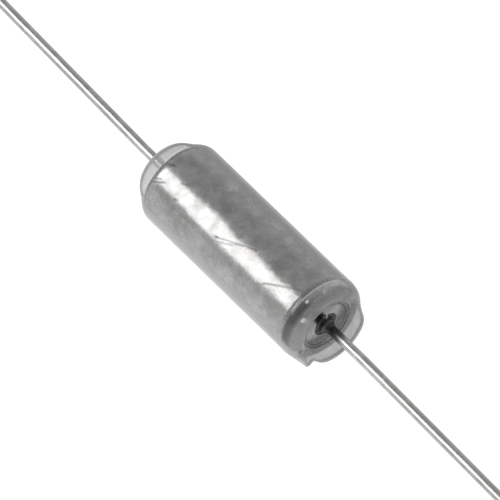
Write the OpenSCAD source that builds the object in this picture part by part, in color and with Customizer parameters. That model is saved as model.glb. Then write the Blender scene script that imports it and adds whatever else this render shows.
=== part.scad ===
// Axial-lead tantalum capacitor: a drawn metal can, closed by a glass-to-metal seal,
// in a clear shrunk film sleeve. The axis lies along X with the positive end at +X,
// and the origin is the middle of the can on its axis. Millimetres, +Z up.

/* [Can] */
// Outside diameter of the bare can
case_d = 4.45; // [4.25:0.05:5]
// Length of the can, from its closed end to its rim
case_len = 11.8; // [11.2:0.1:14]
// Thickness of the drawn wall
case_wall = 0.22; // [0.16:0.01:0.24]
// Thickness of the closed end
end_t = 0.3; // [0.2:0.01:0.4]
// Outside radius of the corner round the closed end
end_round = 0.7; // [0.4:0.01:0.9]
// Outside radius of the slight rounding between the groove and the rim's bend
bead_round = 2.2; // [1.6:0.1:3]
// Angle that this rounding turns through
bead_turn = 8; // [4:0.5:10]
// Outside radius of the bend that folds the rim over the seal
rim_round = 0.5; // [0.4:0.01:0.52]
// Flat width of the folded rim, past its bend
rim_fold = 0.26; // [0.15:0.01:0.35]

/* [Rolled groove] */
// Flat of the wall between the groove and the slight rounding in front of it
groove_flat = 0.003; // [0.002:0.001:0.2]
// Depth of the groove in the can's outside
groove_depth = 0.08; // [0.05:0.01:0.12]
// Radius of the groove's floor
groove_round = 0.05; // [0.04:0.01:0.12]
// Outside radius of the groove's two shoulders
shoulder_round = 0.08; // [0.06:0.01:0.12]
// Radius of the ridge that the groove raises inside the can
ridge_round = 0.16; // [0.12:0.01:0.25]
// Radius of the hollow on each side of that ridge
ridge_foot = 0.1; // [0.06:0.01:0.15]

/* [Glass seal] */
// Gap between the seal ring and the inside of the can
ring_gap = 0.02; // [0.01:0.01:0.04]
// Width of the solder between the folded rim and the seal ring's raised face
rim_solder_w = 0.2; // [0.1:0.01:0.3]
// Distance of that face below the rim
boss_drop = 0.08; // [0.02:0.01:0.14]
// Outside diameter of the collar behind the seal ring
collar_d = 2.1; // [1.8:0.05:2.4]
// Length of the collar
collar_len = 0.35; // [0.2:0.05:0.6]
// Diameter of the glass, which is the bore of the seal ring
glass_d = 1.34; // [1.1:0.02:1.5]
// Depth of the hollow in each end of the glass
glass_dip = 0.07; // [0.03:0.01:0.12]
// Outside diameter of the metal tube in the middle of the glass
tube_d = 0.84; // [0.8:0.02:0.96]
// Wall of the tube
tube_wall = 0.1; // [0.06:0.01:0.12]
// Length of the tube in front of the raised face
tube_stand = 0.2; // [0.1:0.01:0.4]
// Length of the tube behind the collar
tube_tail = 0.1; // [0.05:0.01:0.3]

/* [Solder] */
// Length of the fillet from the tube's end up the positive lead
fillet_len = 0.28; // [0.15:0.01:0.45]
// Hollow of that fillet's side
fillet_dip = 0.05; // [0.02:0.01:0.06]
// Distance from the raised face down to the solder at its edge
rim_solder_drop = 0.03; // [0.01:0.01:0.06]
// Hollow across the ring of solder
rim_solder_dip = 0.04; // [0.02:0.01:0.06]
// Height of the solder up the inside of the can, from the closed end
slug_solder_h = 5; // [3:0.1:6]
// Drop of the solder's edge from the can's wall to the slug
slug_solder_dip = 0.15; // [0.05:0.05:0.3]

/* [Anode] */
// Width of the solder between the coated slug and the can's wall
slug_gap = 0.255; // [0.2:0.005:0.5]
// Length of the slug
slug_len = 7.2; // [6.4:0.1:7.4]
// Rounding of the slug's edges
slug_round = 0.15; // [0.05:0.05:0.3]
// Solder between the closed end and the slug
slug_bed = 0.35; // [0.2:0.05:0.5]
// Diameter of the wire that the slug is pressed around
riser_d = 0.38; // [0.3:0.02:0.46]
// Length of that wire inside the slug
riser_embed = 3.4; // [2:0.1:5]
// Outside diameter of the washer on the slug's top
washer_d = 2.4; // [1.6:0.1:3]
// Thickness of the washer
washer_t = 0.3; // [0.2:0.05:0.5]
// Gap between the washer and the wire
washer_gap = 0.02; // [0.01:0.01:0.05]

/* [Leads] */
// Diameter of both leads
lead_d = 0.51; // [0.45:0.01:0.55]
// Length of each lead outside the can
lead_len = 38.1; // [20:0.1:45]
// Length of the positive lead behind the tube, up to its weld to the wire
lead_tail = 0.45; // [0.2:0.05:0.8]
// Straight stretch of the positive lead before its slight bend
front_stub = 2.8; // [1:0.1:6]
// Angle of that bend
front_lean = 1.0; // [0.2:0.1:4]
// Straight stretch of the negative lead before its slight bend
rear_stub = 2.2; // [1:0.1:6]
// Angle of that bend
rear_lean = 1.4; // [0.2:0.1:4]
// Radius of both bends
lead_bend = 3; // [1:0.5:6]
// Direction of the lean round the axis, from +Y towards +Z; the rear lead leans the other way
lean_turn = 206.65; // [0:0.05:360]
// Diameter of the head that welds the negative lead to the can
head_d = 1.1; // [0.8:0.05:1.6]
// Thickness of the head
head_t = 0.12; // [0.06:0.01:0.2]
// Radius of the fillet between the head and the lead
head_fillet = 0.2; // [0.08:0.01:0.25]
// Chamfer of the leads' cut ends
lead_chamfer = 0.05; // [0.02:0.01:0.1]

/* [Sleeve] */
// Thickness of the clear film
film_t = 0.115; // [0.08:0.005:0.15]
// Gap between the film and the can
film_gap = 0.01; // [0.005:0.005:0.03]
// Depth that the film sinks over the rolled groove
film_dip = 0.025; // [0.01:0.005:0.05]
// Radius of the film's bends over the groove
film_dip_round = 0.15; // [0.12:0.01:0.2]
// Direction of the front lip's low side round the axis, from +Y towards +Z
low_side = 116.65; // [0:0.05:360]

/* [Sleeve, front lip] */
// Inward fold of the lip on its low side, in degrees
front_fold_low = 79; // [60:1:85]
// Fold on the high side
front_fold_high = 25; // [14:1:40]
// Length of the folded film on the low side
front_reach_low = 0.23; // [0.15:0.01:0.35]
// Length on the high side
front_reach_high = 1.05; // [0.6:0.01:1.2]
// Place round the axis, from the low side, at which the lip starts to stand up
lip_rise_from = 75; // [60:1:85]
// Turn from there to the place at which it stands up fully
lip_rise_turn = 55; // [40:1:70]
// Turn by which the length follows the fold
lip_reach_lag = 10; // [0:1:20]

/* [Sleeve, rear lip] */
// Inward fold of the lip above the front lip's low side, in degrees
rear_fold_low = 20; // [10:1:40]
// Fold on the sides between
rear_fold_side = 40; // [30:1:60]
// Fold on the opposite side
rear_fold_high = 44; // [30:1:60]
// Length of the folded film above the front lip's low side
rear_reach_low = 1.0; // [0.6:0.01:1.2]
// Length on the sides between
rear_reach_side = 0.64; // [0.4:0.01:0.8]
// Length on the opposite side
rear_reach_high = 0.6; // [0.4:0.01:0.8]

/* [Sleeve, torn tab] */
// Place of the torn tab round the axis, from the low side
tab_turn = 100; // [60:1:140]
// Half of the tab's width, in degrees
tab_half = 8; // [5:0.5:14]
// Inward fold of the tab
tab_fold = 12; // [12:1:20]
// Length of the tab
tab_reach = 0.85; // [0.5:0.01:1]

/* [Hidden] */
$fn = 96;

bend_steps = 8;    // points along a round stretch of a profile
lip_steps = 4;     // rows of film over the can's corner
lip_sides = 96;    // points round a lip
lip_turn = 4;      // degrees round the can's corner from the end of the tube of film to a lip's first row
join = 0.02;       // overlap of the stretches that make up one solid
skin = 0.002;      // depth of a joined end under the surface of the stretch that it ends in

case_r = case_d / 2;
rim_x = case_len / 2;
base_x = -case_len / 2;
bore_r = case_r - case_wall;
rim_c = case_r - bead_round * (1 - cos(bead_turn)) - rim_round * cos(bead_turn); // radius of its centre
bead_x = rim_x - rim_round - (bead_round - rim_round) * sin(bead_turn);
mouth_r = rim_c - rim_fold;
groove_x = bead_x - groove_flat - max(groove_half(groove_depth, groove_round, shoulder_round),
                                      groove_half(film_dip, film_dip_round, film_dip_round));

ring_round = rim_round - case_wall - ring_gap;
ring_r = rim_c + ring_round;
ridge_c = bore_r - groove_depth + ridge_round;              // radius of the centre of the ridge's curve
ring_rear = groove_x + sqrt(pow(ridge_round, 2) - pow(ridge_c - ring_r, 2));
ring_front = rim_x - case_wall;
boss_front = rim_x - boss_drop;
collar_rear = ring_rear - collar_len;
boss_r = mouth_r - rim_solder_w;
collar_r = collar_d / 2;
glass_r = glass_d / 2;
tube_r = tube_d / 2;
tube_bore_r = tube_r - tube_wall;
tube_front = boss_front + tube_stand;
tube_rear = collar_rear - tube_tail;
weld_x = tube_rear - lead_tail;

floor_x = base_x + end_t;
slug_r = bore_r - slug_gap;
slug_rear = floor_x + slug_bed;
slug_front = slug_rear + slug_len;
riser_r = riser_d / 2;
riser_rear = slug_front - riser_embed;
lead_r = lead_d / 2;

film_bore_r = case_r + film_gap;
film_r = film_bore_r + film_t;
rim_centre = [rim_c, rim_x - rim_round];
bead_centre = [case_r - bead_round, bead_x];
end_centre = [case_r - end_round, rim_x - end_round];       // mirrored to the closed end

// Points of an arc round c, from angle a0 to a1
function arc(c, r, a0, a1, steps = bend_steps) =
    [for (k = [0 : steps]) let (a = a0 + (a1 - a0) * k / steps) c + r * [cos(a), sin(a)]];

// Points from p to q, bowed by d towards -X
function bowed(p, q, d) =
    [for (k = [0 : bend_steps]) let (t = k / bend_steps) p + (q - p) * t - [0, 4 * d * t * (1 - t)]];

function flipped(points) = [for (k = [len(points) - 1 : -1 : 0]) points[k]];

// Angle that the sides of a groove of smooth S-bends turn to, and half of that groove's width
function groove_turn(depth, floor_round, side_round) = acos(1 - depth / (floor_round + side_round));
function groove_half(depth, floor_round, side_round) =
    (floor_round + side_round) * sin(groove_turn(depth, floor_round, side_round));

// Such a groove in a wall of outside radius r, for the surface inset into the wall
function groove_line(r, depth, floor_round, side_round, inset) =
    let (turn = groove_turn(depth, floor_round, side_round),
         half = groove_half(depth, floor_round, side_round))
    concat(arc([r - side_round, groove_x - half], side_round - inset, 0, turn),
           arc([r - depth + floor_round, groove_x], floor_round + inset, 180 + turn, 180 - turn),
           arc([r - side_round, groove_x + half], side_round - inset, -turn, 0));

// A value that runs from low at 0 degrees, over side at 90, to high at 180, and back
function around(low, side, high, a) =
    (low + 2 * side + high) / 4 + (low - high) / 2 * cos(a) + (low - 2 * side + high) / 4 * cos(2 * a);

// A value that is low up to an angle from 0 degrees and eases to high past it, on both sides alike
function rising(low, high, from, a) =
    let (t = min(1, max(0, ((a > 180 ? 360 - a : a) - from) / lip_rise_turn)))
    low + (high - low) * t * t * (3 - 2 * t);

// 1 in the middle of the torn tab, falling to 0 beside it
function in_tab(a) = exp(-pow((((a - tab_turn + 540) % 360) - 180) / tab_half, 2));

// Turns a profile of [radius, x] points about the X axis
module turned(points) {
    rotate([0, 90, 0]) rotate_extrude() polygon(points);
}

// A plain ring from x0 to x1
module ring(x0, x1, outside, inside) {
    turned([[inside, x0], [outside, x0], [outside, x1], [inside, x1]]);
}

function case_inside() = concat(
    [[mouth_r, rim_x - case_wall]],
    arc(rim_centre, rim_round - case_wall, 90, 0),
    flipped(groove_line(bore_r, groove_depth, ridge_round, ridge_foot, 0)),
    case_corner());

// Inside corner of the closed end, from the wall to the axis
function case_corner() =
    let (r = end_round - case_wall)
    concat(arc([bore_r - r, floor_x + r], r, 0, -90), [[0, floor_x]]);

// Corner of the slug's rear face, from the axis to its side
function slug_corner() = concat(
    [[0, slug_rear]],
    arc([slug_r - slug_round, slug_rear + slug_round], slug_round, -90, 0));

module case() {
    color("gainsboro") turned(concat(
        [[0, base_x]],
        arc([case_r - end_round, base_x + end_round], end_round, -90, 0),
        groove_line(case_r, groove_depth, groove_round, shoulder_round, 0),
        arc(bead_centre, bead_round, 0, bead_turn, lip_steps),
        arc(rim_centre, rim_round, bead_turn, 90),
        [[mouth_r, rim_x]],
        case_inside()));
}

module seal_ring() {
    color("darkgray") turned(concat(
        [[glass_r, collar_rear],
         [collar_r, collar_rear],
         [collar_r, ring_rear],
         [ring_r, ring_rear]],
        arc([rim_c, ring_front - ring_round], ring_round, 0, 90),
        [[boss_r, ring_front],
         [boss_r, boss_front],
         [glass_r, boss_front]]));
}

module glass_bead() {
    color("#3a2a26") turned(concat(
        bowed([tube_r, collar_rear], [glass_r, collar_rear], -glass_dip),
        bowed([glass_r, boss_front], [tube_r, boss_front], glass_dip)));
}

module seal_tube() {
    color("silver") ring(tube_rear, tube_front, tube_r, tube_bore_r);
}

module tube_solder() {
    color("lightgray") turned(concat(
        [[lead_r, tube_rear],
         [tube_bore_r, tube_rear],
         [tube_bore_r, tube_front]],
        bowed([tube_r, tube_front], [lead_r, tube_front + fillet_len], fillet_dip)));
}

module rim_solder() {
    color("lightgray") turned(concat(
        [[boss_r, ring_front],
         [mouth_r, ring_front]],
        bowed([mouth_r, rim_x - boss_drop], [boss_r, boss_front - rim_solder_drop], rim_solder_dip)));
}

// A lead along +X from x0, which bends at x1 towards +Y and ends in a chamfer
module lead(x0, x1, lean, run) {
    rotate([0, 90, 0]) translate([0, 0, x0]) cylinder(h = x1 - x0 + join, r = lead_r);
    translate([x1, lead_bend, 0]) rotate([0, 0, -90])
        rotate_extrude(angle = lean) translate([lead_bend, 0]) circle(r = lead_r - skin);
    translate([x1 + lead_bend * sin(lean), lead_bend * (1 - cos(lean)), 0]) rotate([0, 0, lean])
        turned([
            [0, -join],
            [lead_r, -join],
            [lead_r, run - lead_chamfer],
            [lead_r - lead_chamfer, run],
            [0, run]]);
}

module positive_lead() {
    color("silver") rotate([lean_turn, 0, 0])
        lead(weld_x, rim_x + front_stub, front_lean, lead_len - front_stub);
}

module negative_lead() {
    head_x = -base_x + head_t;
    neck_x = head_x + head_fillet;
    color("silver") rotate([lean_turn + 180, 0, 0]) mirror([1, 0, 0]) {
        turned(concat(
            [[0, -base_x],
             [head_d / 2, -base_x],
             [head_d / 2, head_x]],
            arc([lead_r - skin + head_fillet, neck_x], head_fillet, 270, 180),
            [[0, neck_x]]));
        lead(head_x, -base_x + rear_stub, rear_lean, lead_len - rear_stub);
    }
}

module riser_wire() {
    color("dimgray") rotate([0, 90, 0]) translate([0, 0, riser_rear])
        cylinder(h = weld_x - riser_rear, r = riser_r);
}

module anode_slug() {
    color("#4a4a4e") turned(concat(
        slug_corner(),
        arc([slug_r - slug_round, slug_front - slug_round], slug_round, 0, 90),
        [[riser_r, slug_front],
         [riser_r, riser_rear],
         [0, riser_rear]]));
}

module anode_washer() {
    color("white") ring(slug_front, slug_front + washer_t, washer_d / 2, riser_r + washer_gap);
}

module slug_solder() {
    top_x = floor_x + slug_solder_h;
    color("lightgray") turned(concat(
        slug_corner(),
        [[slug_r, top_x - slug_solder_dip],
         [bore_r, top_x]],
        case_corner()));
}

// One section through a lip: its outside, then its inside back again, round the centre c of the
// can's corner. It starts join deep in the end of the tube of film and join/2 off both of its faces.
function lip_section(c, round, start, fold, reach) =
    let (outside = round + film_gap + film_t,
         inside = round + film_gap,
         root = [-join * sin(start), join * cos(start)])
    concat([c + (outside - join / 2) * [cos(start), sin(start)] - root],
           lip_side(c, outside, start + lip_turn, fold, reach),
           flipped(lip_side(c, inside, start + lip_turn, fold, reach)),
           [c + (inside + join / 2) * [cos(start), sin(start)] - root]);

function lip_side(c, r, start, fold, reach) =
    concat(arc(c, r, start, fold, lip_steps),
           [for (t = [0.5, 1]) c + r * [cos(fold), sin(fold)] + t * reach * [-sin(fold), cos(fold)]]);

// The film past the can's corner at the +X end, as one closed ring of sections
module lip(c, round, start, fold, reach) {
    rows = 2 * (lip_steps + 4);
    points = [for (k = [0 : lip_sides - 1])
                 let (a = k * 360 / lip_sides, section = lip_section(c, round, start, fold[k], reach[k]))
                 for (p = section) [p[1], p[0] * cos(a + low_side), p[0] * sin(a + low_side)]];
    faces = [for (k = [0 : lip_sides - 1], j = [0 : rows - 1])
                 let (a = k * rows, b = ((k + 1) % lip_sides) * rows, i = (j + 1) % rows)
                 each [[a + j, b + i, b + j], [a + j, a + i, b + i]]];
    polyhedron(points, faces, convexity = 6);
}

function lip_angles() = [for (k = [0 : lip_sides - 1]) k * 360 / lip_sides];

module sleeve() {
    front_fold = [for (a = lip_angles()) let (t = in_tab(a))
        (1 - t) * rising(front_fold_low, front_fold_high, lip_rise_from, a) + t * tab_fold];
    front_reach = [for (a = lip_angles()) let (t = in_tab(a))
        (1 - t) * rising(front_reach_low, front_reach_high, lip_rise_from + lip_reach_lag, a)
        + t * tab_reach];
    rear_fold = [for (a = lip_angles()) around(rear_fold_low, rear_fold_side, rear_fold_high, a)];
    rear_reach = [for (a = lip_angles()) around(rear_reach_low, rear_reach_side, rear_reach_high, a)];
    color("white", 0.35) {
        turned(concat(
            [[film_bore_r, base_x + end_round],
             [film_r, base_x + end_round]],
            groove_line(film_r, film_dip, film_dip_round, film_dip_round, 0),
            arc(bead_centre, bead_round + film_gap + film_t, 0, bead_turn, lip_steps),
            arc(bead_centre, bead_round + film_gap, bead_turn, 0, lip_steps),
            flipped(groove_line(film_r, film_dip, film_dip_round, film_dip_round, film_t))));
        lip(rim_centre, rim_round, bead_turn, front_fold, front_reach);
        mirror([1, 0, 0]) lip(end_centre, end_round, 0, rear_fold, rear_reach);
    }
}

case();
seal_ring();
glass_bead();
seal_tube();
tube_solder();
rim_solder();
positive_lead();
riser_wire();
anode_slug();
anode_washer();
slug_solder();
negative_lead();
sleeve();
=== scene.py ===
import math

import bpy
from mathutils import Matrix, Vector, noise


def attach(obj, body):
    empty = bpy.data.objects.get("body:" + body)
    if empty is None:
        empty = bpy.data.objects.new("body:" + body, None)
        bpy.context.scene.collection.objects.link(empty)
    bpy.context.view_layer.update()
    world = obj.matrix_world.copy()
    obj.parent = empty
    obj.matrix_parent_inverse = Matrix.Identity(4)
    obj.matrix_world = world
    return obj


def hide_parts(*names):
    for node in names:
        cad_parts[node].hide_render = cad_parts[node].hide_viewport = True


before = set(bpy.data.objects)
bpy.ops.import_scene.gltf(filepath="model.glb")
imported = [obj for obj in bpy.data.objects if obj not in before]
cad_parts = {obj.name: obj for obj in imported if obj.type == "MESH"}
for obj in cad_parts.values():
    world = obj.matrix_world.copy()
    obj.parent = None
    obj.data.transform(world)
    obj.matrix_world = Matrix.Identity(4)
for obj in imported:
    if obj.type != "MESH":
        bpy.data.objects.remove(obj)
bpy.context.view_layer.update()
print("frame loaded:", len(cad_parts), "nodes")

mm = 0.001  # sizes below are in millimetres

canSize = {
    "diameter": 4.45, "length": 11.8, "wall": 0.22, "endThickness": 0.3, "endRound": 0.7,
    "beadRound": 2.2, "beadTurn": 8, "rimRound": 0.5, "rimFold": 0.26, "grooveFlat": 0.003,
    "headSeat": 0.9, "rearOut": 0.13, "crestBack": 0.17, "crestFoot": (0.03, 0.006),
    "rimEdge": 0.03, "rimEdgeMiddle": (0.01, 0.008), "sides": 192, "ringStep": 0.5}
# each groove's depth, the radius of its floor and the radius of its shoulders
outerGroove = (0.08, 0.05, 0.08)
innerGroove = (0.08, 0.16, 0.10)
filmGroove = (0.025, 0.15, 0.15)


def grooveTurn(depth, floorRound, sideRound):
    return math.acos(1 - depth / (floorRound + sideRound))


def grooveHalf(depth, floorRound, sideRound):
    return (floorRound + sideRound) * math.sin(grooveTurn(depth, floorRound, sideRound))


canRadius = canSize["diameter"] / 2
rimX = canSize["length"] / 2
baseX = -rimX - canSize["rearOut"]
boreRadius = canRadius - canSize["wall"]
beadAngle = math.radians(canSize["beadTurn"])
beadCentre = (rimX - canSize["rimRound"] - (canSize["beadRound"] - canSize["rimRound"]) * math.sin(beadAngle),
              canRadius - canSize["beadRound"])
rimCentre = (rimX - canSize["rimRound"],
             beadCentre[1] + (canSize["beadRound"] - canSize["rimRound"]) * math.cos(beadAngle))
endCentre = (-baseX - canSize["endRound"], canRadius - canSize["endRound"])
mouthRadius = rimCentre[1] - canSize["rimFold"]
grooveX = beadCentre[0] - canSize["grooveFlat"] - max(grooveHalf(*outerGroove), grooveHalf(*filmGroove))
floorX = baseX + canSize["endThickness"]

filmSize = {
    "thickness": 0.115, "gap": 0.01, "lowSide": 116.65, "sides": 256, "ringStep": 0.09,
    "lipRings": 9, "lipReachRings": 9, "lipStep": 0.1, "cutRings": 2, "ruffle": 0.006,
    "ruffleScale": (1.1, 1.4, 1.4), "sharpAngle": 50}
filmRadius = canRadius + filmSize["gap"] + filmSize["thickness"]
bodySide = math.radians(filmSize["lowSide"])
# creases in the film, painted dark as painted shade: both ends as (x, degrees from the low side), strength
# and width
filmCreases = [
    ((-0.74, 17), (1.35, -6), 0.20, 0.045), ((2.95, 17), (4.80, -10), 0.28, 0.05),
    ((0.0, 12), (0.95, -2), 0.12, 0.05), ((-0.79, 17), (-0.74, 17), 0.5, 0.06),
    ((3.3, -26), (5.0, -50), 0.10, 0.09), ((1.9, -22), (3.6, -44), 0.10, 0.09),
    ((-5.56, -6), (-5.18, -12), 0.5, 0.05), ((-5.60, 24), (-4.95, 13), 0.35, 0.05),
    ((-5.62, 18), (-5.25, 13), 0.3, 0.045), ((-4.17, -1), (-3.83, -7), 0.3, 0.05),
    ((-3.92, 19.5), (-3.88, 19.5), 0.45, 0.07), ((5.5, -4.5), (5.53, -4.5), 0.5, 0.05)]
# raised folds in the film that catch the light, given in the same way
filmFolds = [
    ((2.30, 31), (2.95, 18), 0.6, 0.05), ((5.76, -30), (5.99, -84), 0.6, 0.06),
    ((-0.6, 21), (0.2, 11), 0.4, 0.05), ((5.50, -24), (5.72, -34), 0.6, 0.13),
    ((5.48, -6), (5.50, -6), 1.0, 0.05), ((5.83, 19), (5.85, 17), 1.0, 0.06)]
# glints painted bright on the film, as painted highlights, given in the same way
filmGlints = [
    ((5.46, -4.6), (5.46, -2.6), 1.0, 0.05), ((5.87, 15), (5.87, 20), 1.0, 0.045),
    ((5.36, -36), (5.67, -27), 0.4, 0.09)]


def deselectAll():
    if bpy.context.object and bpy.context.object.mode != "OBJECT":
        bpy.ops.object.mode_set(mode="OBJECT")
    bpy.ops.object.select_all(action="DESELECT")


# A ring about the X axis, left in edit mode with its edges selected
def startRing(name, station, sides):
    deselectAll()
    x, radius = station
    bpy.ops.mesh.primitive_circle_add(
        vertices=sides, radius=radius * mm, location=(x * mm, 0, 0), rotation=(0, math.pi / 2, 0))
    piece = bpy.context.object
    piece.name = piece.data.name = name
    bpy.ops.object.transform_apply(location=True, rotation=True, scale=True)
    bpy.ops.object.mode_set(mode="EDIT")
    bpy.ops.mesh.select_mode(type="EDGE")
    bpy.ops.mesh.select_all(action="SELECT")
    return piece


# Extrudes the selected ring from station to station and scales it to each radius
def growRing(stations):
    x, radius = stations[0]
    for nextX, nextRadius in stations[1:]:
        bpy.ops.mesh.extrude_edges_move(TRANSFORM_OT_translate={"value": ((nextX - x) * mm, 0, 0)})
        share = nextRadius / radius
        bpy.ops.transform.resize(value=(1, share, share), center_override=(nextX * mm, 0, 0))
        x, radius = nextX, nextRadius


def fillEnd():
    bpy.ops.mesh.edge_face_add()
    bpy.ops.mesh.poke()


def fillOpenEnds():
    bpy.ops.mesh.select_all(action="DESELECT")
    bpy.ops.mesh.select_non_manifold(use_wire=False, use_multi_face=False, use_non_contiguous=False,
                                     use_verts=False)
    fillEnd()


# Merges the seam, turns the faces outwards and smooths all but the sharp edges
def closePiece(piece, sharpAngle=35):
    bpy.ops.mesh.select_all(action="SELECT")
    bpy.ops.mesh.remove_doubles(threshold=0.0002 * mm)
    bpy.ops.mesh.normals_make_consistent(inside=False)
    bpy.ops.object.mode_set(mode="OBJECT")
    bpy.ops.object.shade_smooth_by_angle(angle=math.radians(sharpAngle))
    return piece


# A solid turned from stations (x, radius); a closed outline ends on the station that it starts from
def turnPiece(name, stations, sides, sharpAngle=35):
    piece = startRing(name, stations[0], sides)
    growRing(stations)
    if stations[0] != stations[-1]:
        fillEnd()
        fillOpenEnds()
    return closePiece(piece, sharpAngle)


# Stations round a bend: 0 degrees points away from the axis and 90 degrees towards +X
def bend(x, radius, size, start, end, steps=8):
    turns = [math.radians(start + (end - start) * k / steps) for k in range(steps + 1)]
    return [(x + size * math.sin(t), radius + size * math.cos(t)) for t in turns]


# Stations from one point to another, bowed towards -X by dip
def bowed(start, end, dip, steps=8):
    points = []
    for k in range(steps + 1):
        t = k / steps
        points.append((start[0] + (end[0] - start[0]) * t - 4 * dip * t * (1 - t),
                       start[1] + (end[1] - start[1]) * t))
    return points


def straight(x0, x1, radius, steps):
    return [(x0 + (x1 - x0) * k / steps, radius) for k in range(steps + 1)]


# A groove of smooth S-bends in a wall of the given radius
def grooveStations(radius, depth, floorRound, sideRound):
    half = grooveHalf(depth, floorRound, sideRound)
    turn = math.degrees(grooveTurn(depth, floorRound, sideRound))
    return (bend(grooveX - half, radius - sideRound, sideRound, 0, turn)
            + bend(grooveX, radius - depth + floorRound, floorRound, 180 + turn, 180 - turn, 16)
            + bend(grooveX + half, radius - sideRound, sideRound, -turn, 0))


# The bead in front of the groove, or the film over it: a slight crest, then a slope to the rim's bend
def beadStations(cover):
    size, slope = canSize["rimRound"] + cover, math.tan(beadAngle)
    end = (rimCentre[0] + size * math.sin(beadAngle), rimCentre[1] + size * math.cos(beadAngle))
    start = grooveX + canSize["crestBack"]
    stretch = [(x, end[1] + (end[0] - x) * slope) for x, _ in straight(start, end[0], 0, 4)]
    footBack, footIn = canSize["crestFoot"]
    return [(start - footBack, stretch[0][1] - footIn)] + stretch[:-1]


# Uneven metal: pushes the surface by a fine cloud pattern
def roughen(piece, depth, size):
    clouds = bpy.data.textures.new(piece.name + "Lumps", type="CLOUDS")
    clouds.noise_scale = size * mm
    lumps = piece.modifiers.new("lumps", "DISPLACE")
    lumps.texture = clouds
    lumps.texture_coords = "LOCAL"
    lumps.strength = depth * mm
    lumps.mid_level = 0.5
    deselectAll()
    piece.select_set(True)
    bpy.context.view_layer.objects.active = piece
    bpy.ops.object.modifier_apply(modifier=lumps.name)


# Gives a piece that stands for a node its finish, rides it on the root body and hides the node
def standFor(piece, node, finish):
    piece.data.materials.clear()
    piece.data.materials.append(finish)
    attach(piece, "root")
    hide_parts(node)


class Wire:
    def __init__(self, shading, socket):
        self.shading, self.socket = shading, socket

    def maths(self, operation, first=None, second=0):
        first = self if first is None else first
        return self.shading.add("ShaderNodeMath", {"operation": operation}, {0: first, 1: second})

    def atLeast(self, low):
        return self.maths("MAXIMUM", self, low)

    def __add__(self, other): return self.maths("ADD", self, other)
    def __radd__(self, other): return self.maths("ADD", other, self)
    def __sub__(self, other): return self.maths("SUBTRACT", self, other)
    def __rsub__(self, other): return self.maths("SUBTRACT", other, self)
    def __mul__(self, other): return self.maths("MULTIPLY", self, other)
    def __truediv__(self, other): return self.maths("DIVIDE", self, other)
    def __pow__(self, other): return self.maths("POWER", self, other)


# The node tree of a material, or of the world
class Shading:
    def __init__(self, owner, space="Object"):
        owner.use_nodes = True
        self.owner = owner
        self.tree = owner.node_tree
        self.tree.nodes.clear()
        self.place = self.add("ShaderNodeTexCoord", out=space)

    # A node of any type: its settings first, then its sockets' values or links
    def add(self, kind, settings=None, sockets=None, out=0):
        node = self.tree.nodes.new(kind)
        for setting, value in (settings or {}).items():
            setattr(node, setting, value)
        for key, value in (sockets or {}).items():
            if isinstance(value, Wire):
                self.tree.links.new(value.socket, node.inputs[key])
            else:
                node.inputs[key].default_value = value
        return Wire(self, node.outputs[out]) if out is not None else node

    # The three coordinates of the place, in metres, or of the direction for the world
    def axes(self):
        parts = self.add("ShaderNodeSeparateXYZ", None, {"Vector": self.place}, None)
        return [Wire(self, parts.outputs[k]) for k in range(3)]

    # The three coordinates of the place in millimetres
    def places(self):
        return [axis / mm for axis in self.axes()]

    # On the can's end face: how far out towards the film's low side, and how far across that way
    def faceAxes(self):
        y, z = self.places()[1:]
        sideY, sideZ = math.cos(bodySide), math.sin(bodySide)
        return y * sideY + z * sideZ, z * sideY - y * sideZ

    # Angle round the axis from the film's low side, in radians
    def sideTurn(self):
        y, z = self.axes()[1:]
        turn = z.maths("ARCTAN2", z, y) - bodySide
        return self.add("ShaderNodeMath", {"operation": "WRAP"}, {0: turn, 1: math.pi, 2: -math.pi})

    def clouds(self, scale, detail=4.0, roughness=0.55, stretch=(1, 1, 1), distortion=0.0):
        spot = self.place
        if stretch != (1, 1, 1):
            spot = self.add("ShaderNodeMapping", None, {"Vector": self.place, "Scale": stretch})
        return self.add("ShaderNodeTexNoise", None, {
            "Vector": spot, "Scale": scale / mm, "Detail": detail, "Roughness": roughness,
            "Distortion": distortion})

    # Steps a value from 0 to 1 between low and high
    def step(self, value, low, high):
        return self.add("ShaderNodeMapRange", {"interpolation_type": "SMOOTHSTEP"},
                        {"Value": value, "From Min": low, "From Max": high})

    # 1 between a rise and a fall, each given as (low, high), and 0 outside them
    def band(self, value, rise, fall):
        return self.step(value, *rise) * (1 - self.step(value, *fall))

    def mix(self, mask, first, second):
        return self.add("ShaderNodeMix", {"data_type": "RGBA"}, {0: mask, 6: first, 7: second}, 2)

    # Goes from one colour to another as a pattern crosses a span
    def shades(self, pattern, span, first, second):
        return self.mix(self.step(pattern, *span), first, second)

    def bump(self, height, depth, strength=1.0):
        return self.add("ShaderNodeBump", None,
                        {"Height": height, "Distance": depth * mm, "Strength": strength})

    def surface(self, sockets):
        self.finished("Material", self.add("ShaderNodeBsdfPrincipled", None, sockets))
        return self.owner

    def finished(self, kind, shader):
        self.add("ShaderNodeOutput" + kind, None, {"Surface": shader}, None)


def newFinish(name):
    return Shading(bpy.data.materials.new(name))


def grey(shade, warmth=0.0):
    return (shade * (1 + warmth), shade, shade * (1 - warmth), 1)


# spans along the axis and round it (in radians from the film's low side) say where each shade begins
canLook = {
    "dark": grey(0.31, 0.012), "light": grey(0.47, 0.012), "span": (0.35, 0.65),
    "rearPaintedLight": grey(0.85), "rearSpan": (baseX + 0.4, baseX + 0.1),
    "farRimPaintedReflection": grey(0.5), "farRimSpan": (rimX - 0.3, rimX - 0.15), "farTurnSquared": (1.5, 3),
    "beadPaintedSheen": grey(0.62, 0.01), "beadPaintedShade": grey(0.11, 0.01),
    "beadRise": (grooveX + 0.05, grooveX + 0.13), "beadFall": (rimX - 0.3, rimX - 0.16),
    "lowerRise": (-0.25, 0.05), "lowerFall": (1.15, 1.45),
    "roughness": 0.20, "blotchRough": 0.06, "drawnRough": 0.04, "dentDepth": 0.12}
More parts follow.
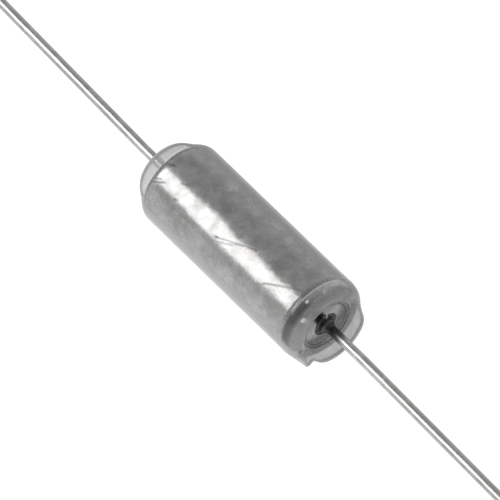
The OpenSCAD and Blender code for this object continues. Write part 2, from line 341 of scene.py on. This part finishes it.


# Drawn can, tinned: cloudy, with faint drawing lines and soft dents; painted light at its rear end, a painted
# reflection tone on the rim's far side, and on the bead a painted sheen above and painted shade below
def canFinish():
    f, s = newFinish("tinnedCan"), canLook
    x, turn = f.places()[0], f.sideTurn()
    cloud = f.clouds(0.9, 4, 0.55)
    blotch = f.clouds(2.4, 3, 0.55, distortion=0.5)
    drawn = f.clouds(5.0, 3, 0.6, (1.0, 0.12, 0.12))
    dents = f.clouds(0.55, 1, 0.4) + f.clouds(1.9, 2, 0.45) * 0.1
    # painted reflection: the rim's far side gets one even grey that sets how bright its reflection looks
    farRimPaintedReflection = f.step(x, *s["farRimSpan"]) * f.step(turn * turn, *s["farTurnSquared"])
    # painted sheen on the bead's upper side and painted shade on its lower side
    bead = f.band(x, s["beadRise"], s["beadFall"])
    beadShadedSide = f.band(turn, s["lowerRise"], s["lowerFall"])
    shade = f.shades(cloud * 0.6 + blotch * 0.4, s["span"], s["dark"], s["light"])
    # painted light: the can's rear end is lightened so its dim reflection looks brighter
    shade = f.shades(x, s["rearSpan"], shade, s["rearPaintedLight"])
    shade = f.mix(farRimPaintedReflection, shade, s["farRimPaintedReflection"])
    return f.surface({
        "Base Color": f.mix(bead, shade, f.mix(beadShadedSide, s["beadPaintedSheen"], s["beadPaintedShade"])), "Metallic": 1.0,
        "Roughness": s["roughness"] + f.step(blotch, 0.3, 0.7) * s["blotchRough"] + drawn * s["drawnRough"],
        "Normal": f.bump(dents, s["dentDepth"], 0.8)})


# out and across are measured on the can's end face, from the film's low side
ringLook = {
    "dark": grey(0.27, 0.01), "light": grey(0.39, 0.01), "span": (0.36, 0.64),
    "low": grey(0.17), "paintedShadeSpan": (0.2, 1.0), "paintedShadeStrength": 0.8,
    "paintedLeadReflection": grey(0.05), "markOut": (0.3, 0.5), "markAcrossSquared": (0.14, 0.06), "roughness": 0.10}


# Seal ring: grey with speckles, with painted shade on its low side and a painted dark reflection of the lead
# beside the glass
def ringFinish():
    f, s = newFinish("mattRing"), ringLook
    speckle = f.clouds(6.0, 5, 0.7)
    blotch = f.clouds(1.7, 3, 0.6)
    out, across = f.faceAxes()
    # painted reflection: a dark patch beside the glass stands for the lead and tube reflected in the ring
    paintedLeadReflection = f.step(out, *s["markOut"]) * f.step(across * across, *s["markAcrossSquared"])
    shade = f.shades(speckle * 0.5 + blotch * 0.5, s["span"], s["dark"], s["light"])
    # painted shade on the ring's low side
    shade = f.mix(f.step(out, *s["paintedShadeSpan"]) * s["paintedShadeStrength"], shade, s["low"])
    return f.surface({
        "Base Color": f.mix(paintedLeadReflection, shade, s["paintedLeadReflection"]), "Metallic": 0.9,
        "Roughness": s["roughness"] + blotch * 0.12, "Normal": f.bump(speckle + blotch, 0.012, 0.7)})


# The tube's metal is kept near black: painted shade where the can's rim shadows it
def tubeFinish():
    f = newFinish("sealTubeMetal")
    spots = f.clouds(4.0, 4, 0.6)
    return f.surface({
        "Base Color": f.shades(spots, (0.35, 0.7), grey(0.06, 0.02), grey(0.17, 0.02)), "Metallic": 1.0,
        "Roughness": 0.26 + spots * 0.2, "Normal": f.bump(spots, 0.02, 0.6)})


solderLook = {
    "dark": grey(0.20, 0.01), "light": grey(0.40, 0.01), "span": (0.35, 0.7),
    "paintedShadowNearWire": grey(0.1), "nearWireSquared": (0.5, 0.3), "roughness": 0.26}


# Solder: grainy and flowed, with painted shadow where it is close to the wire
def solderFinish():
    f, s = newFinish("solder"), solderLook
    grain = f.clouds(9.0, 4, 0.65)
    flow = f.clouds(1.8, 3, 0.6, distortion=1.0)
    y, z = f.places()[1:]
    shade = f.shades(flow, s["span"], s["dark"], s["light"])
    # painted shadow near the wire, where the can's rim keeps the light off
    return f.surface({
        "Base Color": f.shades(y * y + z * z, s["nearWireSquared"], shade, s["paintedShadowNearWire"]), "Metallic": 1.0,
        "Roughness": s["roughness"] + grain * 0.22, "Normal": f.bump(grain * 0.4 + flow, 0.03, 0.8)})


# each painted highlight stroke is given by how far out it lies and where it begins and ends across
glassLook = {
    "dark": (0.006, 0.004, 0.004, 1), "deep": (0.05, 0.018, 0.012, 1), "span": (0.4, 0.7),
    "paintedHighlight": grey(0.6), "strokes": ((0.55, -0.38, -0.12), (0.36, -0.44, -0.14)),
    "strokeLean": 0.3, "strokeShift": 0.08, "strokeSquared": (0.0036, 0.0008), "strokeEnd": 0.06}


# Dark glass, almost black, with a reddish depth and two painted highlights as bright strokes
def glassFinish():
    f, s = newFinish("sealGlass"), glassLook
    swirl = f.clouds(1.6, 3, 0.6, distortion=0.8)
    out, across = f.faceAxes()
    marks = 0
    for place, begin, end in s["strokes"]:
        off = out - place + across * s["strokeLean"] + s["strokeShift"]
        marks = marks + (f.step(off * off, *s["strokeSquared"])
                         * f.band(across, (begin, begin + s["strokeEnd"]), (end - s["strokeEnd"], end)))
    return f.surface({
        "Base Color": f.mix(marks, f.shades(swirl, s["span"], s["dark"], s["deep"]), s["paintedHighlight"]),
        "Roughness": 0.06 + swirl * 0.08, "IOR": 1.52, "Normal": f.bump(swirl, 0.02, 0.5)})


leadLook = {
    "dark": grey(0.42, 0.02), "light": grey(0.56, 0.012), "span": (0.35, 0.7),
    "paintedSealShadow": grey(0.13), "sealShadowRise": (0, 1), "sealShadowFall": (6.9, 7.5), "roughness": 0.2}


# Tinned wire: drawn along its length, with dull spots, and painted shadow beside the seal, where the can
# keeps the light off
def leadFinish():
    f, s = newFinish("tinnedWire"), leadLook
    drawn = f.clouds(14.0, 3, 0.6, (0.05, 1, 1))
    spots = f.clouds(2.2, 4, 0.65)
    paintedSealShadow = f.band(f.places()[0], s["sealShadowRise"], s["sealShadowFall"])
    return f.surface({
        "Base Color": f.mix(paintedSealShadow, f.shades(spots, s["span"], s["dark"], s["light"]), s["paintedSealShadow"]),
        "Metallic": 1.0, "Roughness": s["roughness"] + f.step(spots, 0.3, 0.8) * 0.16,
        "Normal": f.bump(drawn + spots * 0.3, 0.012, 0.7)})


# How strongly lines on the film show at a place, from 0 to 1
def lineMask(f, lines):
    across, along = f.sideTurn() * filmRadius, f.places()[0]
    mask = 0
    for (x0, a0), (x1, a1), strength, width in lines:
        start, run = math.radians(a0) * filmRadius, math.radians(a1 - a0) * filmRadius
        length = math.hypot(x1 - x0, run)
        wayX, wayA = (x1 - x0) / length, run / length
        on = (along - x0) * wayX + (across - start) * wayA
        off = (along - x0) * wayA - (across - start) * wayX
        past = on.atLeast(length) - length + (on * -1).atLeast(0)
        mask = mask + ((off * off + past * past) * (-1 / width ** 2)).maths("EXPONENT") * strength
    return mask


# clear, haze, crease and so on are how much each adds to the film's cover; a lip's second number is
# what its haze adds
filmLook = {
    "film": grey(0.52), "creaseAndEdgeShade": grey(0.14), "skinned": grey(0.36), "glinting": grey(0.95),
    "clear": 0.04, "haze": 0.05, "frontLip": (0.26, 0.24), "rearLip": (0.36, 0.2), "outline": 0.3,
    "glint": 0.9, "cut": 0.5, "crease": 0.9, "fold": 0.35, "skin": 0.9,
    "frontSpan": (rimX - 0.45, rimX + 0.05), "farSooner": 0.45, "farTurnSquared": (2.0, 4.0),
    "rearSpan": (baseX + 0.34, baseX + 0.2), "bodySpan": (rimX + 0.4, rimX + 0.15),
    "skinFacing": (0.42, 0.6), "skinTurnSquared": (0.3, 0.8), "roughness": 0.24}


# Clear shrunk film: see-through and glossy, cloudier on its lips, with painted shade in its creases and lip
# outlines and painted glints. The can seems to reach the film's outside, as through any thick clear skin on a
# round body, so there the film itself looks like the can.
def filmFinish():
    f, s = newFinish("clearFilm"), filmLook
    x, turn = f.places()[0], f.sideTurn()
    haze = f.clouds(0.9, 4, 0.6, distortion=0.4)
    streak = f.clouds(1.3, 4, 0.6, (1.0, 0.35, 0.35), 0.8)
    cut, outer = [f.add("ShaderNodeAttribute", {"attribute_name": name}, None, "Fac")
                  for name in ("edge", "outer")]
    facing = f.add("ShaderNodeLayerWeight", None, {"Blend": 0.5}, "Facing")
    inside = f.add("ShaderNodeNewGeometry", None, None, "Backfacing")
    crease, fold, glint = [lineMask(f, lines) for lines in (filmCreases, filmFolds, filmGlints)]
    far = f.step(turn * turn, *s["farTurnSquared"])
    front = f.step(x + far * s["farSooner"], *s["frontSpan"])
    rear = f.step(x, *s["rearSpan"])
    skin = (f.step(facing, *s["skinFacing"]) * f.step(x, *s["bodySpan"]) * (1 - rear)
            * f.step(turn * turn, *s["skinTurnSquared"]) * f.step(outer, 0.4, 0.6) * (1 - inside))
    metal = f.step(skin, 0.0, 0.1)
    outline = facing ** 8 * front
    # painted shade: creases and the lips' grazing outlines are tinted dark
    tint = f.shades(outline * 0.6 + crease * 2, (0.0, 1.0), s["film"], s["creaseAndEdgeShade"])
    tint = f.mix(metal, tint, s["skinned"])
    frontLip, rearLip = [least + haze * added for least, added in (s["frontLip"], s["rearLip"])]
    # painted highlights: the glints are tinted near white
    return f.surface({
        "Base Color": f.mix(glint, tint, s["glinting"]), "Metallic": 0.05 + metal * 0.95,
        "Roughness": s["roughness"] + streak * 0.12, "IOR": 1.5,
        "Alpha": (s["clear"] + f.step(haze, 0.4, 0.75) * s["haze"] + front * frontLip + rear * rearLip
                  + outline * s["outline"] + glint * s["glint"] + cut * s["cut"]
                  + crease * s["crease"] + fold * s["fold"] + skin * s["skin"]),
        "Normal": f.bump(streak * 0.3 + haze * 0.3 + fold - crease * 0.4, 0.02, 0.6)})


# Silver-grey coat over the pressed slug, with a granular surface
def slugFinish():
    f = newFinish("slugCoat")
    grain = f.clouds(16.0, 5, 0.7)
    smear = f.clouds(1.1, 3, 0.6)
    return f.surface({
        "Base Color": f.shades(grain * 0.5 + smear * 0.5, (0.35, 0.65), grey(0.16), grey(0.34)),
        "Metallic": 0.5, "Roughness": 0.6 + grain * 0.2, "Normal": f.bump(grain, 0.03, 0.8)})


def riserFinish():
    f = newFinish("riserWire")
    drawn = f.clouds(12.0, 3, 0.6, (0.06, 1, 1))
    return f.surface({
        "Base Color": f.mix(drawn, (0.16, 0.17, 0.2, 1), (0.34, 0.35, 0.38, 1)), "Metallic": 1.0,
        "Roughness": 0.3 + drawn * 0.1, "Normal": f.bump(drawn, 0.01, 0.6)})


def washerFinish():
    f = newFinish("whiteWasher")
    skived = f.clouds(6.0, 3, 0.6)
    return f.surface({
        "Base Color": f.mix(skived, (0.80, 0.80, 0.77, 1), (0.92, 0.92, 0.90, 1)),
        "Roughness": 0.5 + skived * 0.12, "Normal": f.bump(skived, 0.01, 0.5)})


finishes = {
    "can": canFinish(), "ring": ringFinish(), "tube": tubeFinish(), "solder": solderFinish(),
    "glass": glassFinish(), "lead": leadFinish(), "film": filmFinish(), "slug": slugFinish(),
    "riser": riserFinish(), "washer": washerFinish()}
print("finishes made:", len(finishes))


def makeCan():
    s = canSize
    groove = grooveStations(canRadius, *outerGroove)
    rings = int((groove[0][0] + endCentre[0]) / s["ringStep"])
    insideCorner = s["endRound"] - s["wall"]
    edge, (middleBack, middleOut) = s["rimEdge"], s["rimEdgeMiddle"]
    outside = ([(baseX, s["headSeat"])]
               + bend(-endCentre[0], endCentre[1], s["endRound"], -90, 0, 16)
               + straight(-endCentre[0], groove[0][0], canRadius, rings)[1:-1]
               + groove
               + beadStations(0)
               + bend(*rimCentre, s["rimRound"], s["beadTurn"], 90, 16)
               + [(rimX, mouthRadius + edge), (rimX - middleBack, mouthRadius + middleOut),
                  (rimX - edge, mouthRadius), (rimX - s["wall"], mouthRadius)])
    inside = (bend(*rimCentre, s["rimRound"] - s["wall"], 90, 0)
              + grooveStations(boreRadius, *innerGroove)[::-1]
              + bend(floorX + insideCorner, boreRadius - insideCorner, insideCorner, 0, -90)
              + [(floorX, s["headSeat"])])
    can = turnPiece("can", outside + inside, s["sides"])
    standFor(can, "case", finishes["can"])


makeCan()
print("can turned")

sealSize = {
    "ringGap": 0.02, "bossEdge": 0.2, "bossDrop": 0.08, "collar": 2.1, "collarLength": 0.35,
    "glass": 1.34, "glassDip": 0.07, "tube": 0.84, "tubeWall": 0.1, "tubeStand": 0.2,
    "tubeTail": 0.1, "tubeLip": 0.025, "tubeLipMiddle": 0.3, "edge": 0.02, "sides": 144, "tubeSides": 96}
ringRound = canSize["rimRound"] - canSize["wall"] - sealSize["ringGap"]
ringRadius = rimCentre[1] + ringRound
ridgeCentre = boreRadius - innerGroove[0] + innerGroove[1]
ringRear = grooveX + math.sqrt(innerGroove[1] ** 2 - (ridgeCentre - ringRadius) ** 2)
ringFront = rimX - canSize["wall"]
bossFront = rimX - sealSize["bossDrop"]
bossRadius = mouthRadius - sealSize["bossEdge"]
collarRear = ringRear - sealSize["collarLength"]
glassRadius = sealSize["glass"] / 2
tubeRadius = sealSize["tube"] / 2
tubeBore = tubeRadius - sealSize["tubeWall"]
tubeFront = bossFront + sealSize["tubeStand"]
tubeRear = collarRear - sealSize["tubeTail"]


def makeSealRing():
    collarRadius, edge = sealSize["collar"] / 2, sealSize["edge"]
    outline = ([(collarRear, glassRadius), (collarRear, collarRadius), (ringRear, collarRadius),
                (ringRear, ringRadius)]
               + bend(ringFront - ringRound, rimCentre[1], ringRound, 0, 90)
               + [(ringFront, bossRadius), (bossFront - edge, bossRadius), (bossFront, bossRadius - edge),
                  (bossFront, glassRadius + edge), (bossFront - edge, glassRadius),
                  (collarRear, glassRadius)])
    ring = turnPiece("sealRing", outline, sealSize["sides"])
    standFor(ring, "seal_ring", finishes["ring"])


def makeGlassBead():
    s = sealSize
    rear = bowed((collarRear, tubeRadius), (collarRear, glassRadius), -s["glassDip"])
    front = bowed((bossFront - s["edge"], glassRadius), (bossFront, tubeRadius), s["glassDip"], 12)
    bead = turnPiece("glassBead", rear + front + [rear[0]], s["sides"])
    standFor(bead, "glass_bead", finishes["glass"])


def makeSealTube():
    lip = sealSize["tubeLip"]
    middle = lip * sealSize["tubeLipMiddle"]
    outline = [(tubeRear, tubeBore), (tubeRear, tubeRadius), (tubeFront - lip, tubeRadius),
               (tubeFront - middle, tubeRadius - middle), (tubeFront, tubeRadius - lip),
               (tubeFront, tubeBore), (tubeRear, tubeBore)]
    tube = turnPiece("sealTube", outline, sealSize["tubeSides"])
    standFor(tube, "seal_tube", finishes["tube"])


makeSealRing()
makeGlassBead()
makeSealTube()
print("glass seal made")

leadSize = {
    "diameter": 0.51, "length": 38.1, "tail": 0.45, "frontStub": 2.8, "frontLean": 1.0,
    "rearStub": 2.2, "rearLean": 1.4, "bendRadius": 3.0, "leanTurn": 206.65, "head": 1.1,
    "headThickness": 0.12, "headFillet": 0.2, "headEdge": 0.03, "headFoot": (0.02, 0.01),
    "chamfer": 0.05, "bendSteps": 6, "sides": 48, "ringStep": 1.0}
leadRadius = leadSize["diameter"] / 2
weldX = tubeRear - leadSize["tail"]


# Bends the lead's end aside and runs it out straight; way is 1 for the +X lead and -1 for the other
def leanOut(x, way, lean, run):
    s = leadSize
    turn, tip = math.radians(s["leanTurn"]), math.radians(lean)
    side = Vector((0, math.cos(turn), math.sin(turn))) * way
    along = Vector((way, 0, 0))
    pivot = Vector((x, 0, 0)) + side * s["bendRadius"]
    bpy.ops.mesh.spin(steps=s["bendSteps"], angle=tip, center=pivot * mm, axis=side.cross(along))
    out = along * math.cos(tip) + side * math.sin(tip)
    start = pivot + (along * math.sin(tip) - side * math.cos(tip)) * s["bendRadius"]
    rings = int(run / s["ringStep"])
    stretch = (run - s["chamfer"]) / rings
    for length in [stretch] * rings + [s["chamfer"]]:
        bpy.ops.mesh.extrude_edges_move(TRANSFORM_OT_translate={"value": out * length * mm})
    cut = 1 - s["chamfer"] / leadRadius
    bpy.ops.transform.resize(value=(cut, cut, cut), center_override=(start + out * run) * mm)
    fillEnd()


def makeLead(name, node, start, x, way, lean, run):
    lead = startRing(name, start[0], leadSize["sides"])
    growRing(start)
    leanOut(x, way, lean, run)
    fillOpenEnds()
    closePiece(lead)
    standFor(lead, node, finishes["lead"])


def makeLeads():
    s = leadSize
    x = rimX + s["frontStub"]
    makeLead("positiveLead", "positive_lead", straight(weldX, x, leadRadius, 6), x, 1, s["frontLean"],
             s["length"] - s["frontStub"])
    x = baseX - s["rearStub"]
    head, edge, (footBack, footIn) = s["head"] / 2, s["headEdge"], s["headFoot"]
    face = baseX - s["headThickness"]
    neck = face - s["headFillet"]
    start = ([(baseX, head - footIn), (baseX - footBack, head), (face + edge, head), (face, head - edge)]
             + bend(neck, leadRadius + s["headFillet"], s["headFillet"], 90, 180)
             + straight(neck, x, leadRadius, 4)[1:])
    makeLead("negativeLead", "negative_lead", start, x, -1, s["rearLean"], s["length"] - s["rearStub"])


makeLeads()
print("leads drawn")

solderSize = {
    "filletLength": 0.28, "filletDip": 0.05, "filletIn": 0.03, "rimDrop": 0.03, "rimDip": 0.04,
    "sides": 96, "lumps": 0.02, "lumpSize": 0.16, "rimLumpSize": 0.32}


def makeTubeSolder():
    s = solderSize
    outline = ([(tubeRear, leadRadius), (tubeRear, tubeBore), (tubeFront, tubeBore)]
               + bowed((tubeFront, tubeRadius - s["filletIn"]), (tubeFront + s["filletLength"], leadRadius),
                       s["filletDip"], 10)
               + [(tubeRear, leadRadius)])
    solder = turnPiece("tubeSolder", outline, s["sides"])
    roughen(solder, s["lumps"], s["lumpSize"])
    standFor(solder, "tube_solder", finishes["solder"])


def makeRimSolder():
    s = solderSize
    top = bowed((bossFront, mouthRadius), (bossFront - s["rimDrop"], bossRadius), s["rimDip"], 12)
    outline = [(ringFront, bossRadius), (ringFront, mouthRadius)] + top + [(ringFront, bossRadius)]
    solder = turnPiece("rimSolder", outline, canSize["sides"])
    roughen(solder, s["lumps"], s["rimLumpSize"])
    standFor(solder, "rim_solder", finishes["solder"])


makeTubeSolder()
makeRimSolder()
print("solder flowed")

# how far each lip folds inwards, in degrees, and how long it is: low and high, or low, side and high
frontLip = {"fold": (79, 25), "reach": (0.23, 1.05), "riseFrom": 75, "riseTurn": 55, "reachLag": 10}
rearLip = {"fold": (20, 40, 44), "reach": (1.0, 0.64, 0.6)}
tornTab = {"turn": 101.5, "half": 11, "fold": 8, "reach": 0.98, "power": 3}
lipCount = filmSize["lipRings"] + filmSize["lipReachRings"]
filmCover = filmSize["gap"] + filmSize["thickness"]
filmRearX = -endCentre[0]


# A value that runs from low on the low side, over side, to high opposite, and back
def around(values, turn):
    low, side, high = values
    return ((low + 2 * side + high) / 4 + (low - high) / 2 * math.cos(turn)
            + (low - 2 * side + high) / 4 * math.cos(2 * turn))


# A value that is low up to an angle from the low side and eases to high past it
def rising(values, begin, turn):
    low, high = values
    away = abs((math.degrees(turn) + 180) % 360 - 180)
    t = min(1, max(0, (away - begin) / frontLip["riseTurn"]))
    return low + (high - low) * t * t * (3 - 2 * t)


def frontShape(turn):
    begin = frontLip["riseFrom"]
    away = (math.degrees(turn) - tornTab["turn"] + 540) % 360 - 180
    share = math.exp(-abs(away / tornTab["half"]) ** tornTab["power"])
    fold = (1 - share) * rising(frontLip["fold"], begin, turn) + share * tornTab["fold"]
    reach = ((1 - share) * rising(frontLip["reach"], begin + frontLip["reachLag"], turn)
             + share * tornTab["reach"])
    return fold, reach


def rearShape(turn):
    return around(rearLip["fold"], turn), around(rearLip["reach"], turn)


# The place (x, radius) of a lip's ring k, round the centre of the can's corner
def lipPlace(k, centre, size, start, fold, reach):
    bendRings = filmSize["lipRings"]
    out = math.radians(fold)
    if k <= bendRings:
        a = math.radians(start + (fold - start) * k / bendRings)
        return centre[0] + size * math.sin(a), centre[1] + size * math.cos(a)
    t = (k - bendRings) / filmSize["lipReachRings"] * reach
    return (centre[0] + size * math.sin(out) + t * math.cos(out),
            centre[1] + size * math.cos(out) - t * math.sin(out))


# Extrudes the selected end ring into a lip's rings, evenly spaced, for shapeLips to place
def growLip(way):
    for _ in range(lipCount):
        bpy.ops.mesh.extrude_edges_move(
            TRANSFORM_OT_translate={"value": (way * filmSize["lipStep"] * mm, 0, 0)})


def selectRing(piece, x):
    bpy.ops.mesh.select_all(action="DESELECT")
    bpy.ops.object.mode_set(mode="OBJECT")
    points = piece.data.vertices
    for edge in piece.data.edges:
        edge.select = all(abs(points[v].co.x - x * mm) < 1e-7 for v in edge.vertices)
    bpy.ops.object.mode_set(mode="EDIT")


# Places the lips' rings, ruffles the film, and marks the rings beside its cut edges
def shapeLips(film, frontX):
    s, corner = filmSize, canSize["rimRound"] + filmCover
    cut = film.data.attributes.new("edge", "FLOAT", "POINT")
    for vertex in film.data.vertices:
        x, y, z = vertex.co / mm
        turn = math.atan2(z, y) - bodySide
        placeX, radius, ring = x, math.hypot(y, z), 0
        if x > frontX + s["lipStep"] / 2:
            ring = round((x - frontX) / s["lipStep"])
            placeX, radius = lipPlace(ring, rimCentre, corner, canSize["beadTurn"], *frontShape(turn))
        elif x < filmRearX - s["lipStep"] / 2:
            ring = round((filmRearX - x) / s["lipStep"])
            placeX, radius = lipPlace(ring, endCentre, canSize["endRound"] + filmCover, 0,
                                      *rearShape(turn))
            placeX = -placeX
        cut.data[vertex.index].value = max(0, ring - lipCount + s["cutRings"]) / s["cutRings"]
        radius += s["ruffle"] * noise.noise(Vector((placeX, y, z)) * Vector(s["ruffleScale"]))
        angle = turn + bodySide
        vertex.co = Vector((placeX, radius * math.cos(angle), radius * math.sin(angle))) * mm


# Gives the film its wall, inwards, and marks the points on its outside
def thicken(film):
    bpy.ops.object.mode_set(mode="EDIT")
    bpy.ops.mesh.select_all(action="SELECT")
    bpy.ops.mesh.normals_make_consistent(inside=False)
    bpy.ops.object.mode_set(mode="OBJECT")
    outerPoints = len(film.data.vertices)
    wall = film.modifiers.new("wall", "SOLIDIFY")
    wall.thickness = filmSize["thickness"] * mm
    wall.offset = -1
    bpy.ops.object.modifier_apply(modifier=wall.name)
    outer = film.data.attributes.new("outer", "FLOAT", "POINT")
    for index in range(outerPoints):
        outer.data[index].value = 1
    bpy.ops.object.shade_smooth_by_angle(angle=math.radians(filmSize["sharpAngle"]))


def makeFilm():
    s = filmSize
    groove = grooveStations(filmRadius, *filmGroove)
    rimStart = bend(*rimCentre, canSize["rimRound"] + filmCover, canSize["beadTurn"],
                    canSize["beadTurn"], 1)[:1]
    rings = int((groove[0][0] - filmRearX) / s["ringStep"])
    body = (straight(filmRearX, groove[0][0], filmRadius, rings)[:-1] + groove
            + beadStations(filmCover) + rimStart)
    film = startRing("filmSleeve", body[0], s["sides"])
    growRing(body)
    growLip(1)
    selectRing(film, filmRearX)
    growLip(-1)
    bpy.ops.object.mode_set(mode="OBJECT")
    shapeLips(film, rimStart[0][0])
    thicken(film)
    standFor(film, "sleeve", finishes["film"])
    print("film's triangles:", sum(len(face.vertices) - 2 for face in film.data.polygons))


makeFilm()
print("film shrunk on")

insideFinishes = {
    "riser_wire": "riser", "anode_slug": "slug", "anode_washer": "washer", "slug_solder": "solder"}
for node, finish in insideFinishes.items():
    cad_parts[node].data.materials.clear()
    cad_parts[node].data.materials.append(finishes[finish])
print("inside pieces finished:", len(insideFinishes))

# spans of the floor are in millimetres, those of the ceiling are of the direction looked in
studio = {
    "floorDrop": 2.35, "floorSize": 8.0, "floorShade": 0.3, "floorGlow": 0.92,
    "floorFar": 0.26, "floorFarSpan": (5, 16), "floorBehind": 0.3, "floorBehindSpan": (2.2, 6),
    "ceiling": 0.48, "horizon": 0.70, "horizonSpan": (0.35, 0.8),
    "ceilingEnd": 0.17, "ceilingEndSpan": (-0.4, -0.15), "ceilingBack": 0.42, "ceilingBackSpan": (0.05, 0.5),
    "ceilingFar": 0.5, "ceilingFarSpan": (0.2, 0.6),
    "strip": 3.0, "stripTurn": 44.7, "stripAway": 0.30, "stripWide": 0.235, "stripLong": 0.36,
    "stripShift": -0.30}


# A pale floor that the can sees dimmer far away and behind it, while the camera sees it even
def makeFloor():
    s = studio
    deselectAll()
    bpy.ops.mesh.primitive_plane_add(size=s["floorSize"], location=(0, 0, -s["floorDrop"] * mm))
    floor = bpy.context.object
    floor.name = floor.data.name = "floor"
    f = newFinish("paleFloor")
    x, y, _ = f.places()
    far = f.step((x * x + y * y) ** 0.5, *s["floorFarSpan"]) * s["floorFar"]
    behind = f.step(y, *s["floorBehindSpan"]) * s["floorBehind"]
    seen = f.add("ShaderNodeLightPath", None, None, "Is Camera Ray")
    floor.data.materials.append(f.surface({
        "Base Color": grey(s["floorShade"]), "Roughness": 0.9, "Emission Strength": s["floorGlow"],
        "Emission Color": f.mix((far + behind) * (1 - seen), grey(1.0), grey(0.0))}))


def makeStrip():
    deselectAll()
    tilt = math.radians(studio["stripTurn"])
    away = Vector((0, -math.sin(tilt), math.cos(tilt))) * studio["stripAway"]
    away.x = studio["stripShift"]
    bpy.ops.object.light_add(type="AREA", location=away, rotation=(tilt, 0, 0))
    strip = bpy.context.object
    strip.name = "softStrip"
    strip.data.shape = "RECTANGLE"
    strip.data.size, strip.data.size_y = studio["stripLong"], studio["stripWide"]
    strip.data.energy = studio["strip"] * math.pi * studio["stripLong"] * studio["stripWide"]
    strip.visible_camera = False


# A dim ceiling, darkest overhead past the can's front end, that the camera itself sees as white
def makeCeiling():
    world = bpy.data.worlds.new("studio")
    bpy.context.scene.world = world
    f, s = Shading(world, "Generated"), studio
    x, y, z = f.axes()
    end = f.shades(y, s["ceilingBackSpan"], grey(s["ceilingEnd"]), grey(s["ceilingBack"]))
    side = f.shades(z, s["horizonSpan"], grey(s["horizon"]), grey(s["ceiling"]))
    shade = f.shades(x, s["ceilingEndSpan"], side, end)
    shade = f.shades(x, s["ceilingFarSpan"], shade, grey(s["ceilingFar"]))
    dim = f.add("ShaderNodeBackground", None, {"Color": shade})
    white = f.add("ShaderNodeBackground", None, {"Color": grey(1.0)})
    seen = f.add("ShaderNodeLightPath", None, None, "Is Camera Ray")
    f.finished("World", f.add("ShaderNodeMixShader", None, {0: seen, 1: dim, 2: white}))


makeFloor()
makeStrip()
makeCeiling()
bpy.context.scene.view_settings.view_transform = "Standard"

# the camera looks at the can from the positive end, above and in front
cameraPlace = {
    "turn": 51.05, "rise": 51.4, "distance": 0.55, "viewWidth": 24.48, "aimX": -0.165,
    "aimRight": 0.074, "aimUp": -0.0247, "sensor": 36}


def makeCamera():
    s = cameraPlace
    turn, rise = math.radians(s["turn"]), math.radians(s["rise"])
    back = Vector((math.sin(turn) * math.cos(rise), -math.cos(turn) * math.cos(rise), math.sin(rise)))
    right = Vector((math.cos(turn), math.sin(turn), 0))
    up = back.cross(right)
    aim = (Vector((s["aimX"], 0, 0)) + right * s["aimRight"] + up * s["aimUp"]) * mm
    data = bpy.data.cameras.new("camera")
    data.sensor_width = s["sensor"]
    data.lens = s["sensor"] * s["distance"] / (s["viewWidth"] * mm)
    data.clip_start, data.clip_end = 0.05, 20
    camera = bpy.data.objects.new("camera", data)
    bpy.context.scene.collection.objects.link(camera)
    camera.location = aim + back * s["distance"]
    camera.rotation_mode = "QUATERNION"
    camera.rotation_quaternion = (-back).to_track_quat("-Z", "Y")
    bpy.context.scene.camera = camera


makeCamera()
print("studio set")
